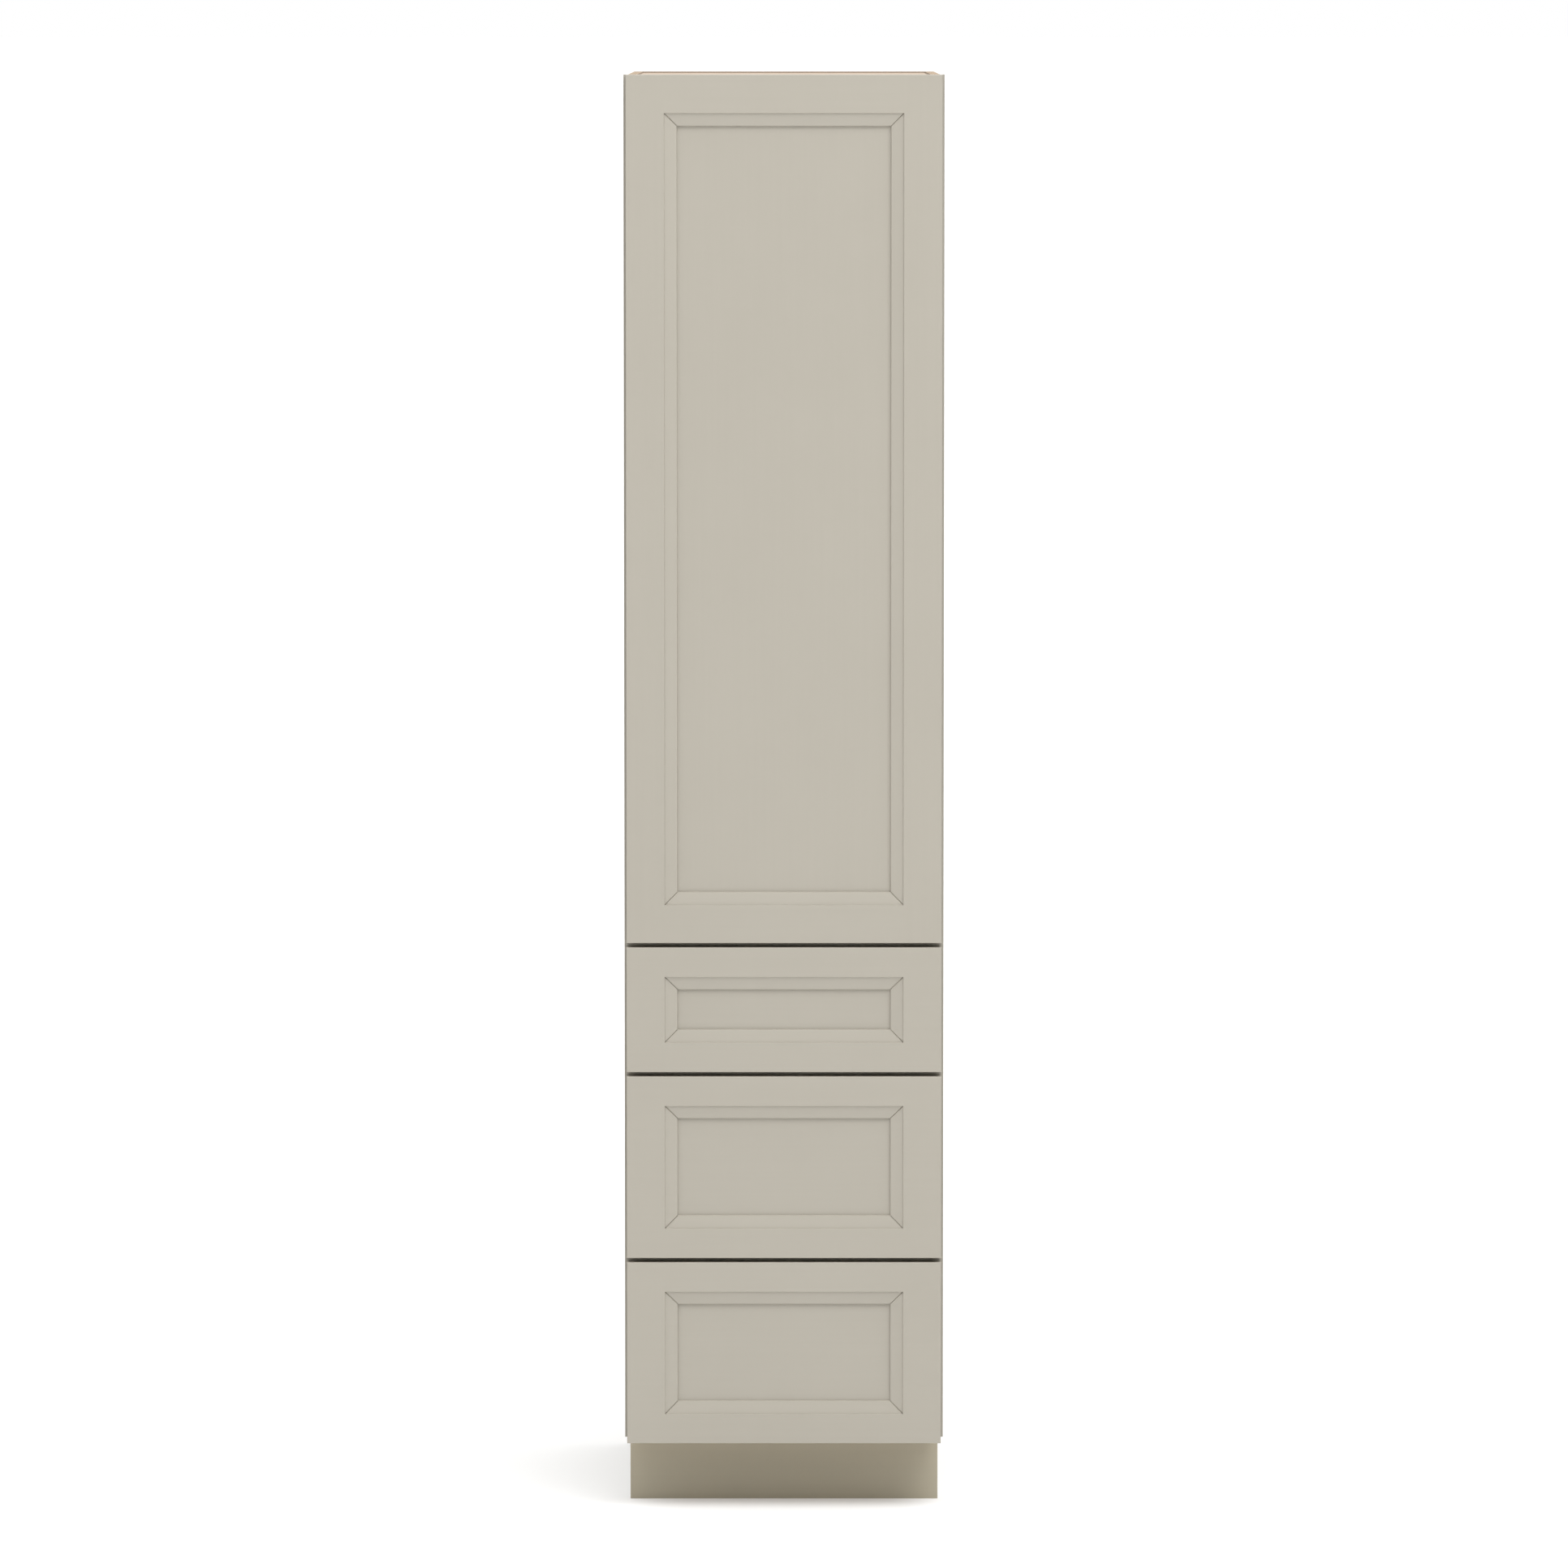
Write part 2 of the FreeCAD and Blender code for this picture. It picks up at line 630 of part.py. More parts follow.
def middle_member(floor):
    """Rectangular tube between the two channels, with cheeks that carry its rollers."""
    x = member_x()
    z = (floor + MEMBER_Z[0], floor + MEMBER_Z[1])
    wall = RUNNER_WALL
    tube = box(x, runner_y(), z).cut(box((x[0] + wall, x[1] - wall), runner_y(), (z[0] + wall, z[1] - wall)))
    cheeks = []
    for y, level in roller_places(floor):
        reach = (level - CHEEK_END, z[0]) if level < z[0] else (z[1], level + CHEEK_END)
        for side_x in ((x[0], x[0] + wall), (x[1] - wall, x[1])):
            cheeks.append(box(side_x, (y - 2 * ROLLER_R, y + 2 * ROLLER_R), reach))
    wheels = [roller(*place) for place in roller_places(floor)]
    return [drilled(fused([tube] + cheeks), wheels)] + wheels


def spacer(opening_floor):
    z = (opening_floor, opening_floor + SPACER_HEIGHT)
    return box((X_OPEN, X_INSIDE), (Y_CASE, Y_BACK_PANEL), z)


def runner_screws(floor):
    """Three screws through the flange of the right cabinet runner into its spacer."""
    start, end = runner_y()
    places = [start + (end - start) * share for share in RUNNER_SCREW_SHARES]
    level = floor + RUNNER_FLANGE_RISE / 2
    return [screw((X_OPEN - RUNNER_WALL, y, level), (1, 0, 0)) for y in places]


def drawer_bumpers():
    """Two discs on the face frame near the top of each drawer front."""
    discs = []
    x = X_FRONT - BUMPER_INSET
    for low, high in DRAWER_SPANS:
        start = (x, Y_FRAME - BUMPER_T, high - BUMPER_INSET)
        discs += both_sides(rod(start, (0, 1, 0), BUMPER_R, BUMPER_T))
    return discs


def build_drawers():
    runners, spacers, screws = [], [], []
    places = zip(DRAWER_SPANS, OPENING_FLOORS, BOX_HEIGHTS)
    for number, (span, opening_floor, height) in enumerate(places, start=1):
        name = "drawer_" + str(number)
        floor = opening_floor + BOX_LIFT
        save(name + "_front_frame", list(front_members(span, DRAWER_RAIL_FLAT).values()))
        save(name + "_front_panel", [front_panel(span, DRAWER_RAIL_FLAT)])
        build_drawer_box(name, floor, height)
        save(name + "_drawer_runners", both_sides(drawer_runner(floor)))
        members = middle_member(floor)
        save(name + "_slide_members", members + [mirrored(solid) for solid in members])
        driven = runner_screws(floor)
        runners += both_sides(drilled(cabinet_runner(floor), driven))
        spacers += both_sides(drilled(spacer(opening_floor), driven))
        screws += driven + [mirrored(solid) for solid in driven]
    save("cabinet_runners", runners)
    save("slide_spacers", spacers)
    save("drawer_bumpers", drawer_bumpers())
    return screws


def build_all():
    os.makedirs("parts", exist_ok=True)
    hinge_screws = at_hinges(arm_screws())
    build_case()
    build_face_frame(hinge_screws)
    build_shelves()
    build_door(at_hinges([cup_bore()] + cup_screws()))
    build_hinges()
    runner_screw_solids = build_drawers()
    save("cabinet_screws", hinge_screws + runner_screw_solids)


build_all()
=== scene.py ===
import math

import bmesh
import bpy
from mathutils import Matrix, Vector


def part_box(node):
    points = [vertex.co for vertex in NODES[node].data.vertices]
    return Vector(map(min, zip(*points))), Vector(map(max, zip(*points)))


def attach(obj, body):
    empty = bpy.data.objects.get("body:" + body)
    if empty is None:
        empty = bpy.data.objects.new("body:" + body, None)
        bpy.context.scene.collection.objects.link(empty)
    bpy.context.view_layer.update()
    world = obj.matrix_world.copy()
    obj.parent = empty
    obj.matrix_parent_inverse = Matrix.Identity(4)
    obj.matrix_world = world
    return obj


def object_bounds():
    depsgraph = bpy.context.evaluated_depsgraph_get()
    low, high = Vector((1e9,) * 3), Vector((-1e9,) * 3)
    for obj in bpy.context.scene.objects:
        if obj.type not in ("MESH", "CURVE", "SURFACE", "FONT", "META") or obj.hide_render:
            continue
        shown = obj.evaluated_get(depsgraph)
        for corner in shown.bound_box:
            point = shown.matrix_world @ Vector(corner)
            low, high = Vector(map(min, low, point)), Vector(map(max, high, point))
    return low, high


# A tall painted pantry cabinet: one door over three drawers, maple inside. Lengths are in metres.

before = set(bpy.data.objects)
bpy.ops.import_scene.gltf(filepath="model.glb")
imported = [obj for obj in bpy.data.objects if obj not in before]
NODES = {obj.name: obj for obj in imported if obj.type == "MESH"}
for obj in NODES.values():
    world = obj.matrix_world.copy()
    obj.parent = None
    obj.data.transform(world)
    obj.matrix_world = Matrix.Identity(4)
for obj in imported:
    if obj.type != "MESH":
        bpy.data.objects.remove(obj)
CAD_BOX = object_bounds()

MM = 0.001
DRAWERS = ("drawer_1", "drawer_2", "drawer_3")

# Paint, wood and metal, as linear colours; CORE colours are the plywood's inner plies
PAINT = (0.419, 0.391, 0.335)
PAINT_SHADE = (0.405, 0.377, 0.322)
TOE_BOUNCE_TINT = (1.10, 1.07, 0.95)  # painted bounce light: the toe kick is made browner and lighter than the fronts
MAPLE_LIGHT = (0.700, 0.545, 0.395)
MAPLE = (0.610, 0.455, 0.310)
MAPLE_DARK = (0.470, 0.320, 0.200)
MAPLE_END = (0.400, 0.270, 0.165)
BARE_MAPLE = (0.520, 0.442, 0.368)
# RIM_SHADE colours are painted shade: a darker brown for the lips of the back and sides above the
# recessed top panel
RIM_SHADE = (0.430, 0.350, 0.280)
RIM_SHADE_DARK = (0.344, 0.280, 0.224)
CORE_LIGHT = (0.640, 0.510, 0.370)
CORE_DARK = (0.420, 0.300, 0.195)
PLY = 0.0018  # thickness of one veneer of the plywood
ZINC = (0.560, 0.575, 0.590)
NICKEL = (0.640, 0.610, 0.570)

# The white surround lights from overhead and fades out towards the horizon, so gaps stay dark. The
# heights are sines of the elevation.
SKY_LIGHT = 1.1
SKY_FADE_LOW = 0.25
SKY_FADE_HIGH = 0.5
FLOOR_GLOW = 0.175


# ---- Shader nodes -----------------------------------------------------------------------------


class Graph:
    """Short names for the shader nodes of one material."""

    def __init__(self, name):
        self.material = bpy.data.materials.new(name)
        self.material.use_nodes = True
        self.tree = self.material.node_tree
        self.surface = self.tree.nodes["Principled BSDF"]
        self.place = self.node("TexCoord").outputs["Object"]
        self.facing = self.node("TexCoord").outputs["Normal"]

    def node(self, kind, inputs=None, **settings):
        made = self.tree.nodes.new("ShaderNode" + kind)
        for key, value in settings.items():
            setattr(made, key, value)
        for key, value in (inputs or {}).items():
            self.feed(made.inputs[key], value)
        return made

    def feed(self, socket, value):
        if isinstance(value, bpy.types.NodeSocket):
            self.tree.links.new(value, socket)
        else:
            socket.default_value = value

    def math(self, operation, first, second=0.0):
        return self.node("Math", {0: first, 1: second}, operation=operation).outputs[0]

    def part(self, vector, axis):
        return self.node("SeparateXYZ", {0: vector}).outputs["XYZ".index(axis)]

    def scaled(self, scales, shift=(0.0, 0.0, 0.0)):
        inputs = {"Vector": self.place, "Location": shift, "Scale": scales}
        return self.node("Mapping", inputs).outputs[0]

    def noise(self, vector, scale, detail=2.0, roughness=0.5):
        inputs = {"Vector": vector, "Scale": scale, "Detail": detail, "Roughness": roughness}
        return self.node("TexNoise", inputs).outputs["Fac"]

    def ramp(self, value, stops):
        """Colours or greys along value; stops are (place, colour) pairs."""
        made = self.node("ValToRGB", {"Fac": value})
        elements = made.color_ramp.elements
        while len(elements) < len(stops):
            elements.new(0.5)
        for element, (place, colour) in zip(elements, stops):
            element.position = place
            element.color = (*colour, 1.0) if isinstance(colour, tuple) else (colour, colour, colour, 1.0)
        return made.outputs["Color"]

    def spread(self, value, low, high, start=0.0, end=1.0):
        inputs = {"Value": value, "From Min": start, "From Max": end, "To Min": low, "To Max": high}
        return self.node("MapRange", inputs).outputs[0]

    def blend(self, share, first, second, way="MIX"):
        made = self.node("Mix", data_type="RGBA", blend_type=way)
        self.feed(made.inputs[0], share)
        for socket, colour in ((made.inputs[6], first), (made.inputs[7], second)):
            self.feed(socket, (*colour, 1.0) if isinstance(colour, tuple) else colour)
        return made.outputs[2]

    def faces(self, axis, sign=0):
        """1 on faces that look along the axis: both ways, or only the way of sign."""
        along = self.part(self.facing, axis)
        along = self.math("ABSOLUTE", along) if sign == 0 else self.math("MULTIPLY", along, float(sign))
        return self.math("GREATER_THAN", along, 0.7)

    def bump(self, height, distance, strength=1.0, under=None):
        inputs = {"Height": height, "Distance": distance, "Strength": strength}
        if under is not None:
            inputs["Normal"] = under
        return self.node("Bump", inputs).outputs[0]

    def finish(self, colour, roughness, normal=None, **constants):
        """Feed the shader, set its constants, and give back the material."""
        self.feed(self.surface.inputs["Base Color"], colour)
        self.feed(self.surface.inputs["Roughness"], roughness)
        if normal is not None:
            self.feed(self.surface.inputs["Normal"], normal)
        for key, value in constants.items():
            self.surface.inputs[key.replace("_", " ")].default_value = value
        return self.material


# ---- Materials --------------------------------------------------------------------------------


def along(axis, slow, fast):
    """Scales that stretch a pattern along one axis."""
    return tuple(slow if axis == name else fast for name in "XYZ")


def toned(colour, tone):
    """The colour with each channel taken times its share of the tone."""
    return tuple(value * share for value, share in zip(colour, tone))


def paint_colour(graph, stroke_axis, tone=(1.0, 1.0, 1.0)):
    """Sprayed satin paint over sanded wood: faint clouds, and strokes along the grain under it."""
    clouds = graph.noise(graph.place, 5.0, 3.0)
    strokes = graph.noise(graph.scaled(along(stroke_axis, 3.0, 160.0)), 1.0, 3.0, 0.6)
    share = graph.math("ADD", graph.math("MULTIPLY", clouds, 0.6), graph.math("MULTIPLY", strokes, 0.4))
    share = graph.spread(share, 0.0, 1.0, 0.3, 0.7)
    return graph.blend(share, toned(PAINT_SHADE, tone), toned(PAINT, tone))


def paint_relief(graph, stroke_axis):
    """Orange peel of the spray, and the grain telegraphing through it."""
    peel = graph.noise(graph.place, 900.0, 2.0)
    grain = graph.noise(graph.scaled(along(stroke_axis, 12.0, 700.0)), 1.0, 2.0)
    return graph.bump(peel, 0.00005, 0.5, graph.bump(grain, 0.00004, 0.4))


def paint(name, stroke_axis, tone=(1.0, 1.0, 1.0)):
    graph = Graph(name)
    smudge = graph.noise(graph.place, 22.0, 4.0, 0.6)
    roughness = graph.spread(smudge, 0.40, 0.50)
    colour = paint_colour(graph, stroke_axis, tone)
    return graph.finish(colour, roughness, paint_relief(graph, stroke_axis), Specular_IOR_Level=0.4)


def maple_colour(graph, grain_axis, shift):
    """Pale maple: broad flat-sawn figure, fine fibres, and a few short dark flecks."""
    warp = graph.scaled(along(grain_axis, 0.55, 7.0), shift)
    figure = graph.node("TexWave", {
        "Vector": warp, "Scale": 1.1, "Distortion": 7.0, "Detail": 3.0, "Detail Scale": 0.8,
        "Detail Roughness": 0.55}, wave_type="BANDS", bands_direction="DIAGONAL").outputs["Fac"]
    fibres = graph.noise(graph.scaled(along(grain_axis, 14.0, 620.0), shift), 1.0, 4.0, 0.65)
    clouds = graph.noise(graph.scaled(along(grain_axis, 1.5, 9.0), shift), 1.0, 3.0)
    flecks = graph.noise(graph.scaled(along(grain_axis, 70.0, 900.0), shift), 1.0, 1.0)
    broad = graph.ramp(figure, ((0.0, MAPLE_LIGHT), (0.55, MAPLE), (0.86, MAPLE), (1.0, MAPLE_DARK)))
    base = graph.blend(0.42, graph.blend(clouds, MAPLE_LIGHT, MAPLE), broad)
    base = graph.blend(graph.spread(fibres, 0.0, 0.35, 0.45, 0.75), base, MAPLE_DARK)
    return graph.blend(graph.spread(flecks, 0.0, 0.35, 0.70, 0.80), base, MAPLE_DARK), fibres


def end_grain(graph, shift):
    """Growth rings cut across, darker than the face of the board."""
    rings = graph.node("TexWave", {
        "Vector": graph.scaled((9.0, 9.0, 9.0), shift), "Scale": 14.0, "Distortion": 2.5, "Detail": 2.0},
        wave_type="RINGS", rings_direction="SPHERICAL").outputs["Fac"]
    pores = graph.noise(graph.place, 1500.0, 1.0)
    colour = graph.ramp(rings, ((0.0, MAPLE_END), (0.7, MAPLE), (1.0, MAPLE_END)))
    return graph.blend(graph.spread(pores, 0.0, 0.5, 0.55, 0.75), colour, MAPLE_END)


def plies(graph, axis, start, shift):
    """Edge of the plywood: veneers in turn along and across, counted from one face."""
    depth = graph.math("SUBTRACT", graph.part(graph.place, axis), start)
    wobble = graph.math("MULTIPLY", graph.noise(graph.place, 40.0, 2.0), PLY * 0.25)
    turn = graph.math("FRACT", graph.math("DIVIDE", graph.math("ADD", depth, wobble), PLY * 2.0))
    fibres = graph.noise(graph.scaled((300.0, 300.0, 300.0), shift), 1.0, 4.0, 0.7)
    light = graph.blend(fibres, CORE_LIGHT, MAPLE)
    dark = graph.blend(fibres, CORE_DARK, MAPLE_DARK)
    return graph.blend(graph.ramp(turn, ((0.44, 0.0), (0.5, 1.0), (0.94, 1.0), (1.0, 0.0))), light, dark)


def maple(name, grain_axis, shift, thickness=None, start=0.0, banded=False, painted=None, bare=0.0,
          rim=None):
    """Clear-coated maple. With a thickness axis it is plywood, whose plies are counted from start; banded
    covers its front edge with a strip of solid wood; painted is the way (-1 or 1) that the one painted
    face looks along X; bare is the share of pale uncoated wood; rim is the level above which upright
    faces are darkened with painted shade, standing in for the shade in the recess above the top panel."""
    graph = Graph(name)
    colour, fibres = maple_colour(graph, grain_axis, shift)
    relief = graph.bump(fibres, 0.00006, 0.5)
    roughness = graph.spread(fibres, 0.34, 0.46, 0.3, 0.7)
    if thickness is None:
        colour = graph.blend(graph.faces(grain_axis), colour, end_grain(graph, shift))
    else:
        edges = graph.math("SUBTRACT", 1.0, graph.faces(thickness))
        if banded:
            edges = graph.math("SUBTRACT", edges, graph.faces("Y", -1))
        colour = graph.blend(bare, colour, BARE_MAPLE)
        colour = graph.blend(edges, colour, plies(graph, thickness, start, shift))
    # Painted shade: upright faces above the rim level are darkened, standing in for the shade in the
    # recess above the top panel
    if rim is not None:
        above = graph.math("GREATER_THAN", graph.part(graph.place, "Z"), rim)
        upright = graph.math("SUBTRACT", above, graph.faces("Z"))
        lip_shade = graph.blend(fibres, RIM_SHADE, RIM_SHADE_DARK)
        colour = graph.blend(graph.math("MAXIMUM", upright, 0.0), colour, lip_shade)
    if painted is not None:
        outside = graph.faces("X", painted)
        colour = graph.blend(outside, colour, paint_colour(graph, "Z"))
    roughness = graph.math("ADD", roughness, 0.35 * bare)
    return graph.finish(colour, roughness, relief, Coat_Weight=0.15 * (1.0 - bare), Coat_Roughness=0.25)


def zinc():
    """Rolled zinc-plated steel of the slides and their rollers: drawn along Y, with faint spangles."""
    graph = Graph("zinc_steel")
    drawn = graph.noise(graph.scaled((900.0, 10.0, 900.0)), 1.0, 3.0, 0.6)
    spangle = graph.node("TexVoronoi", {"Vector": graph.place, "Scale": 160.0}).outputs["Color"]
    tone = graph.blend(0.12, ZINC, graph.node("RGBToBW", {0: spangle}).outputs[0], "OVERLAY")
    colour = graph.blend(graph.spread(drawn, 0.0, 0.35, 0.4, 0.8), tone, tuple(v * 0.72 for v in ZINC))
    relief = graph.bump(drawn, 0.00003, 0.4)
    return graph.finish(colour, graph.spread(drawn, 0.26, 0.44), relief, Metallic=1.0)


def nickel():
    """Nickel plate of the hinges, pins and screws, with a thin haze."""
    graph = Graph("nickel_plate")
    haze = graph.noise(graph.place, 260.0, 4.0, 0.6)
    stain = graph.noise(graph.place, 1800.0, 2.0)
    colour = graph.blend(graph.spread(haze, 0.0, 0.5, 0.35, 0.7), NICKEL, tuple(v * 0.8 for v in NICKEL))
    relief = graph.bump(stain, 0.00002, 0.3)
    return graph.finish(colour, graph.spread(haze, 0.16, 0.32), relief, Metallic=1.0)


def clear_bumper():
    """Soft clear plastic discs, milky where they are thick."""
    graph = Graph("bumper_clear")
    cloud = graph.noise(graph.place, 600.0, 3.0)
    colour = graph.blend(cloud, (0.74, 0.74, 0.72), (0.86, 0.86, 0.85))
    return graph.finish(colour, graph.spread(cloud, 0.22, 0.34), graph.bump(cloud, 0.00004, 0.3),
                        Transmission_Weight=0.35, IOR=1.45)


def moulded(name, colour):
    """Injection-moulded plastic with a fine spark-eroded surface."""
    graph = Graph(name)
    grain = graph.noise(graph.place, 2600.0, 3.0, 0.7)
    flow = graph.noise(graph.place, 60.0, 2.0)
    shade = tuple(v * 0.82 for v in colour)
    return graph.finish(graph.blend(flow, colour, shade), graph.spread(grain, 0.38, 0.55),
                        graph.bump(grain, 0.00004, 0.5), Specular_IOR_Level=0.45)


def pale_floor():
    """Pale studio floor that glows a little, so that shadows on it stay faint."""
    graph = Graph("floor_pale")
    cloud = graph.noise(graph.place, 1.5, 3.0)
    colour = graph.blend(cloud, (0.77, 0.77, 0.766), (0.79, 0.79, 0.786))
    return graph.finish(colour, graph.spread(cloud, 0.75, 0.85), Specular_IOR_Level=0.1,
                        Emission_Color=(1.0, 1.0, 1.0, 1.0), Emission_Strength=FLOOR_GLOW)


def dress(node, material):
    mesh = NODES[node].data
    mesh.materials.clear()
    mesh.materials.append(material)


def dress_nodes():
    """Give every CAD node its finish."""
    upright, level = paint("paint_upright", "Z"), paint("paint_level", "X")
    for node in ("frame_stile_left", "frame_stile_right", "door_stile_left", "door_stile_right",
                 "door_panel"):
        dress(node, upright)
    rails = ["frame_rail_" + name for name in ("top", "upper", "middle", "lower", "bottom")]
    for node in rails + ["door_rail_top", "door_rail_bottom"]:
        dress(node, level)
    # The toe kick's paint carries painted bounce light: tinted browner and lighter than the fronts for
    # the toe space
    dress("toe_kick_skin", paint("paint_toe", "X", TOE_BOUNCE_TINT))
    for drawer in DRAWERS:
        dress(drawer + "_front_frame", level)
        dress(drawer + "_front_panel", level)
    dress_plywood()
    dress_drawer_boxes()
    metal, plate, bumper = zinc(), nickel(), clear_bumper()
    dress("cabinet_runners", metal)
    for drawer in DRAWERS:
        dress(drawer + "_drawer_runners", metal)
        dress(drawer + "_slide_members", metal)
    for node in ("hinge_arms", "hinge_cups", "hinge_pins", "hinge_cup_screws", "shelf_pins",
                 "cabinet_screws"):
        dress(node, plate)
    for node in ("door_bumpers", "drawer_bumpers"):
        dress(node, bumper)


def dress_plywood():
    """Each board has its own stretch of the grain. The thickness axis comes first, then the grain's."""
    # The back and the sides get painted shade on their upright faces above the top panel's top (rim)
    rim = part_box("top_panel")[1].z
    boards = [("top_panel", "Z", "X"), ("divider_deck", "Z", "X"), ("bottom_panel", "Z", "X"),
              ("back_panel", "Y", "Z"), ("hanging_rails", "Y", "X"), ("toe_kick_board", "Y", "X"),
              ("slide_spacers", "X", "Y")]
    special = {"top_panel": {"bare": 0.6}, "back_panel": {"rim": rim}}
    boards += [(drawer + "_box_bottom", "Z", "X") for drawer in DRAWERS]
    for index, (node, thickness, grain) in enumerate(boards):
        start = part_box(node)[0]["XYZ".index(thickness)]
        shift = (1.7 * index, 0.9 * index, 2.3 * index)
        dress(node, maple("ply_" + node, grain, shift, thickness, start, **special.get(node, {})))
    for index in range(1, 5):
        node = "shelf_" + str(index)
        shift = (3.1 * index, 1.3 * index, 0.7 * index)
        dress(node, maple("ply_" + node, "X", shift, "Z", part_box(node)[0].z, banded=True))
    for node, way in (("side_panel_left", -1), ("side_panel_right", 1)):
        shift, start = (5.0 * way, 1.0, 2.0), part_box(node)[0].x
        dress(node, maple("ply_" + node, "Z", shift, "X", start, painted=way, rim=rim))


def dress_drawer_boxes():
    boards = (("_box_sides", "Y"), ("_box_front", "X"), ("_box_back", "X"))
    for index, drawer in enumerate(DRAWERS):
        for turn, (board, grain) in enumerate(boards):
            node = drawer + board
            shift = (0.37 * index + turn, 1.9 * turn, 0.61 * index)
            dress(node, maple("maple_" + node, grain, shift))


# ---- Small pieces that fasten the drawers -------------------------------------------------------

SHARP_ANGLE = math.radians(35)

SCREW_RADIUS = 4.0 * MM
SCREW_HEIGHT = 2.2 * MM
SCREW_RIM_SHARE = 0.35  # height of the head's upright rim, as a share of its height
SCREW_DOME_SHARE = 0.28  # width of the head's rounding, as a share of its radius
RECESS_ARM = 2.3 * MM
RECESS_HALF_WIDTH = 0.45 * MM
RECESS_FLOOR_SHARE = 0.3
SCREW_INSET_X = 62 * MM
SCREW_INSET_Z = 33 * MM
SCREW_SPIN = 0.6  # turn from one screw to the next, in radians

CLIP_LENGTH = 42 * MM
CLIP_WIDTH = 24 * MM
CLIP_HEIGHT = 7 * MM
CLIP_ROUNDING = 1.2 * MM
CLIP_OFFSET_X = 118 * MM  # from the middle of the drawer
CLIP_GAP_Y = 0.2 * MM  # behind the box front
CLIP_DROP = 7.3 * MM  # below the box bottom
SLOT_SIDES = (0.58, 0.72)  # of the slot beside the lever, as shares of the clip's width
SLOT_START = 0.22  # as a share of the clip's length
RIB_COUNT = 5
RIB_START = 0.45  # the first rib and the pitch, as shares of the clip's length
RIB_PITCH = 0.09
RIB_SIDE = 0.78  # inner end of the ribs, as a share of the clip's width
RIB_GROOVE = 1.6 * MM
RIB_DEPTH = 0.8 * MM
CUTTER_REACH = 1.2  # cutters run past the clip, to this share of its size


def mesh_object(name, shape, material, smooth=True):
    """Turn a bmesh into an object; smooth faces keep their sharp edges."""
    mesh = bpy.data.meshes.new(name)
    bmesh.ops.recalc_face_normals(shape, faces=shape.faces)
    shape.to_mesh(mesh)
    shape.free()
    for face in mesh.polygons:
        face.use_smooth = smooth
    if smooth:
        mesh.set_sharp_from_angle(angle=SHARP_ANGLE)
    mesh.materials.append(material)
    made = bpy.data.objects.new(name, mesh)
    bpy.context.scene.collection.objects.link(made)
    return made


def turned(profile, segments=32):
    """Closed solid of revolution about Z; profile is (radius, height) from one end of the axis to the
    other."""
    shape = bmesh.new()
    rings = []
    for radius, height in profile:
        if radius == 0:
            rings.append([shape.verts.new((0, 0, height))])
            continue
        turns = [2 * math.pi * step / segments for step in range(segments)]
        places = [(radius * math.cos(turn), radius * math.sin(turn), height) for turn in turns]
        rings.append([shape.verts.new(place) for place in places])
    for lower, upper in zip(rings, rings[1:]):
        for step in range(segments):
            after = (step + 1) % segments
            corners = [lower[step % len(lower)], lower[after % len(lower)],
                       upper[after % len(upper)], upper[step % len(upper)]]
            shape.faces.new(list(dict.fromkeys(corners)))
    return shape


def block(shape, low, high):
    """Add a block between two corners to a bmesh."""
    middle = (Vector(low) + Vector(high)) / 2
    size = Vector(high) - Vector(low)
    for vert in bmesh.ops.create_cube(shape, size=1.0)["verts"]:
        vert.co = middle + Vector(v * s for v, s in zip(vert.co, size))


def carved(piece, cutter):
    """Take one object's shape out of another, and remove the cutter."""
    modifier = piece.modifiers.new("carve", "BOOLEAN")
    modifier.operation = "DIFFERENCE"
    modifier.solver = "EXACT"
    modifier.object = cutter
    bpy.context.view_layer.update()
    cut = bpy.data.meshes.new_from_object(piece.evaluated_get(bpy.context.evaluated_depsgraph_get()))
    piece.modifiers.clear()
    piece.data = cut
    bpy.data.objects.remove(cutter)


def screw_head(material):
    """Pan head with a cross recess, its flat side at height 0."""
    profile = [(0, 0), (SCREW_RADIUS, 0)]
    for turn in (math.radians(angle) for angle in (0, 22, 45, 68, 90)):
        radius = SCREW_RADIUS * (1 - SCREW_DOME_SHARE + SCREW_DOME_SHARE * math.cos(turn))
        height = SCREW_HEIGHT * (SCREW_RIM_SHARE + (1 - SCREW_RIM_SHARE) * math.sin(turn))
        profile.append((radius, height))
    profile.append((0, SCREW_HEIGHT))
    head = mesh_object("screw_head", turned(profile), material)
    floor_height, above = SCREW_HEIGHT * RECESS_FLOOR_SHARE, SCREW_HEIGHT * 2
    across, along_y = (RECESS_ARM, RECESS_HALF_WIDTH), (RECESS_HALF_WIDTH, RECESS_ARM)
    for name, (x, y) in (("recess_a", across), ("recess_b", along_y)):
        recess = bmesh.new()
        block(recess, (-x, -y, floor_height), (x, y, above))
        carved(head, mesh_object(name, recess, material, smooth=False))
    return head


def front_screws(material):
    """Four screws through each box front into the drawer front."""
    master = screw_head(material)
    backwards = Matrix.Rotation(-math.pi / 2, 4, "X")
    for drawer in DRAWERS:
        low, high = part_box(drawer + "_box_front")
        columns = (low.x + SCREW_INSET_X, high.x - SCREW_INSET_X)
        rows = (low.z + SCREW_INSET_Z, high.z - SCREW_INSET_Z)
        for index, (x, z) in enumerate((x, z) for x in columns for z in rows):
            name = "{}_front_screw_{}".format(drawer, index + 1)
            made = bpy.data.objects.new(name, master.data.copy())
            bpy.context.scene.collection.objects.link(made)
            spin = Matrix.Rotation(SCREW_SPIN * index, 4, "Z")
            made.data.transform(Matrix.Translation((x, high.y, z)) @ backwards @ spin)
            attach(made, drawer)
    bpy.data.objects.remove(master)


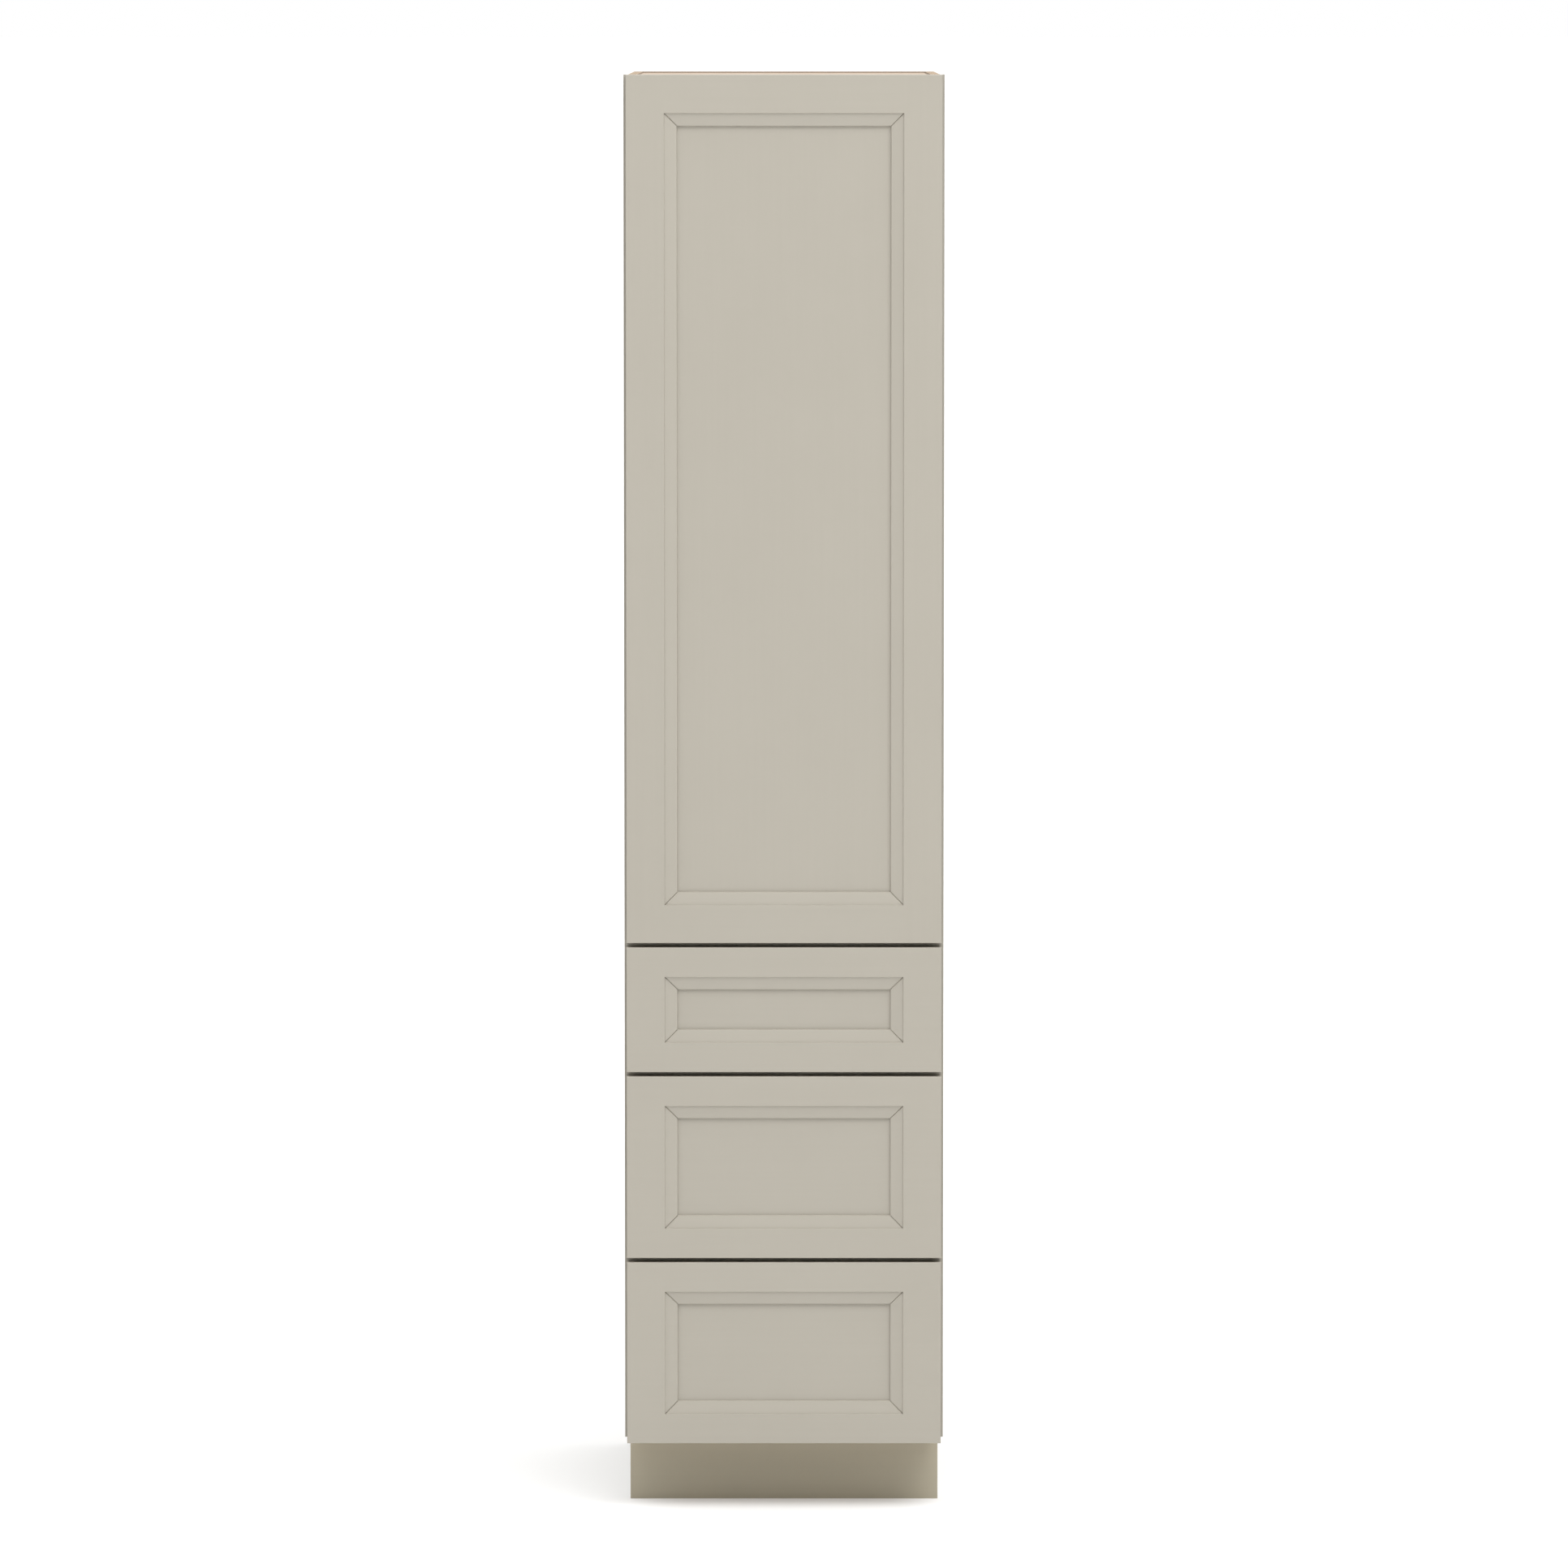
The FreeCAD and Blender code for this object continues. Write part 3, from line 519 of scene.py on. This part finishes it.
def locking_clip(name, side, low, material):
    """Moulded clip under the front corner of a box, with a squeeze lever and ribs; low is its lowest
    front corner, on the side of the drawer's middle."""
    shape = bmesh.new()
    block(shape, (0, 0, 0), (CLIP_WIDTH, CLIP_LENGTH, CLIP_HEIGHT))
    bmesh.ops.bevel(shape, geom=shape.edges[:], offset=CLIP_ROUNDING, segments=3, affect="EDGES",
                    profile=0.6)
    body = mesh_object(name, shape, material)
    slot = bmesh.new()
    block(slot, (CLIP_WIDTH * SLOT_SIDES[0], CLIP_LENGTH * SLOT_START, -CLIP_HEIGHT),
          (CLIP_WIDTH * SLOT_SIDES[1], CLIP_LENGTH * CUTTER_REACH, CLIP_HEIGHT * 2))
    carved(body, mesh_object("slot", slot, material, smooth=False))
    for rib in range(RIB_COUNT):
        groove = bmesh.new()
        start = CLIP_LENGTH * (RIB_START + RIB_PITCH * rib)
        block(groove, (CLIP_WIDTH * RIB_SIDE, start, -0.5 * MM),
              (CLIP_WIDTH * CUTTER_REACH, start + RIB_GROOVE, RIB_DEPTH))
        carved(body, mesh_object("groove", groove, material, smooth=False))
    if side < 0:
        body.data.transform(Matrix.Scale(-1, 4, (1, 0, 0)))
        body.data.flip_normals()
    body.data.transform(Matrix.Translation(low))
    return body


def locking_clips():
    """One clip beside the front end of each drawer runner."""
    plastic = moulded("clip_grey", (0.20, 0.21, 0.22))
    for drawer in DRAWERS:
        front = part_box(drawer + "_box_front")[1].y + CLIP_GAP_Y
        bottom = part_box(drawer + "_box_bottom")[0].z - CLIP_DROP
        for side, label in ((-1, "left"), (1, "right")):
            corner = (side * CLIP_OFFSET_X, front, bottom)
            clip = locking_clip("{}_clip_{}".format(drawer, label), side, corner, plastic)
            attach(clip, drawer)


# ---- Stage ------------------------------------------------------------------------------------

FLOOR_HALF_SIDE = 600.0
SUN_STRENGTH = 1.1
SUN_SPREAD = math.radians(80)
SOFT_BOX_PLACE = (2.0, -3.9, 6.2)
SOFT_BOX_POWER = 188
SOFT_BOX_WIDTH = 4.6
SOFT_BOX_HEIGHT = 3.6
SOFT_BOX_AIM_RISE = 0.5  # how far above the middle of the front it aims
CAMERA_DISTANCE = 13.5
CAMERA_LENS = 217.6
CAMERA_RISE = 0.10  # above the top of the cabinet
CAMERA_AIM_HEIGHT = 1.0463


def floor():
    shape = bmesh.new()
    bmesh.ops.create_grid(shape, x_segments=8, y_segments=8, size=FLOOR_HALF_SIDE)
    made = mesh_object("floor", shape, pale_floor(), smooth=False)


def aimed(thing, place, target):
    """Put a lamp or camera at a place, looking at the target."""
    thing.location = place
    thing.rotation_euler = (Vector(target) - Vector(place)).to_track_quat("-Z", "Y").to_euler()


def lamp(name, kind, place, target, strength, **settings):
    data = bpy.data.lights.new(name, kind)
    data.energy = strength
    for key, value in settings.items():
        setattr(data, key, value)
    made = bpy.data.objects.new(name, data)
    bpy.context.scene.collection.objects.link(made)
    aimed(made, place, target)


def studio_light():
    """White surround, a soft overhead sun for the floor, and one big soft box at the upper right. The
    camera sees the surround white all over, whatever light it gives."""
    world = bpy.data.worlds.new("studio")
    world.use_nodes = True
    tree = world.node_tree
    surround = tree.nodes["Background"]
    surround.inputs["Color"].default_value = (1.0, 1.0, 1.0, 1.0)
    way = tree.nodes.new("ShaderNodeSeparateXYZ")
    tree.links.new(tree.nodes.new("ShaderNodeTexCoord").outputs["Generated"], way.inputs[0])
    sky = tree.nodes.new("ShaderNodeMapRange")
    sky.inputs["From Min"].default_value = SKY_FADE_LOW
    sky.inputs["From Max"].default_value = SKY_FADE_HIGH
    sky.inputs["To Max"].default_value = SKY_LIGHT
    tree.links.new(way.outputs["Z"], sky.inputs["Value"])
    seen = tree.nodes.new("ShaderNodeLightPath").outputs["Is Camera Ray"]
    strength = tree.nodes.new("ShaderNodeMapRange")
    tree.links.new(seen, strength.inputs["Value"])
    tree.links.new(sky.outputs[0], strength.inputs["To Min"])
    tree.links.new(strength.outputs[0], surround.inputs["Strength"])
    bpy.context.scene.world = world
    target = Vector((0, CAD_BOX[0][1], CAD_BOX[1][2] / 2 + SOFT_BOX_AIM_RISE))
    lamp("overhead", "SUN", (0, -0.6, 4), (0, 0, 0), SUN_STRENGTH, angle=SUN_SPREAD)
    lamp("soft_box", "AREA", SOFT_BOX_PLACE, target, SOFT_BOX_POWER, shape="RECTANGLE",
         size=SOFT_BOX_WIDTH, size_y=SOFT_BOX_HEIGHT)


def camera():
    """Just above the level of the cabinet's top and far back, through a long lens."""
    data = bpy.data.cameras.new("camera")
    data.sensor_width = 36.0
    data.lens = CAMERA_LENS
    data.clip_end = 2000.0
    made = bpy.data.objects.new("camera", data)
    bpy.context.scene.collection.objects.link(made)
    front, top = CAD_BOX[0][1], CAD_BOX[1][2]
    aimed(made, (0, front - CAMERA_DISTANCE, top + CAMERA_RISE), (0, front, CAMERA_AIM_HEIGHT))
    bpy.context.scene.camera = made


camera()
floor()
studio_light()
bpy.context.scene.view_settings.view_transform = "Standard"
dress_nodes()
front_screws(NODES["hinge_cups"].data.materials[0])
locking_clips()
